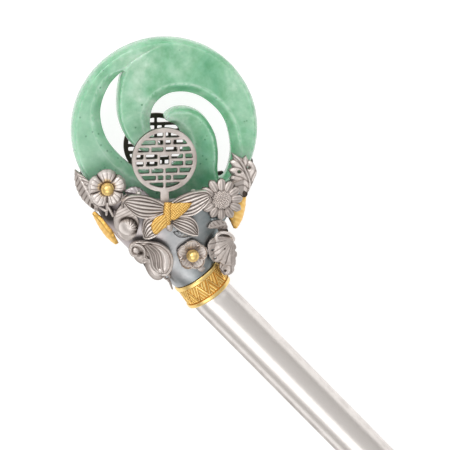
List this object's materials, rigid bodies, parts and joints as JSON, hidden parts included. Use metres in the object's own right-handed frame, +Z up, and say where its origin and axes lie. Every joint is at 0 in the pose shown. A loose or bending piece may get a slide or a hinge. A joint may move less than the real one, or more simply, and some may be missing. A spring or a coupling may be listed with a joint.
{
  "type": "ornamental hairpin",
  "caption": "Long silver hairpin whose leaning cup of cast flowers, leaves and a butterfly holds a carved jade disc, above a gilt collar and a round tapering shaft.",
  "frame": {"origin": "on the surface the pin lies on, under the middle of its length and breadth", "axes": "+X along the pin from the jade disc towards the shaft's tip, +Z up out of the front of the disc"},
  "size_m": [0.1936, 0.0458, 0.0196],
  "materials": {
    "jade": "polished",
    "polished_silver": "satin",
    "satin_silver": "satin",
    "cast_silver": "satin",
    "gilding": "satin"
  },
  "bodies": {
    "root": {"shaft": "polished_silver", "collar": "gilding", "cup": "satin_silver", "jade_disc": "jade", "gold_leaf_left": "gilding", "gold_leaf_right": "gilding", "front_roundel": "cast_silver", "front_butterfly": "cast_silver", "front_butterfly_gold": "gilding", "front_blossom": "cast_silver", "front_blossom_bead": "gilding", "front_daisy": "cast_silver", "front_plum": "cast_silver", "front_plum_bead": "gilding", "front_long_leaf": "cast_silver", "front_lobed_leaf": "cast_silver", "front_bud": "cast_silver", "front_shell_leaf": "cast_silver", "front_shell_lobes": "cast_silver", "front_fan_leaf": "cast_silver", "front_fan_lobe": "cast_silver", "front_sprig": "cast_silver", "front_bead_left": "cast_silver", "front_bead_right": "cast_silver", "back_roundel": "cast_silver", "back_butterfly": "cast_silver", "back_butterfly_gold": "gilding", "back_blossom": "cast_silver", "back_blossom_bead": "gilding", "back_daisy": "cast_silver", "back_plum": "cast_silver", "back_plum_bead": "gilding", "back_long_leaf": "cast_silver", "back_lobed_leaf": "cast_silver", "back_bud": "cast_silver", "back_shell_leaf": "cast_silver", "back_shell_lobes": "cast_silver", "back_fan_leaf": "cast_silver", "back_fan_lobe": "cast_silver", "back_sprig": "cast_silver", "back_bead_left": "cast_silver", "back_bead_right": "cast_silver"}
  },
  "joints": []
}
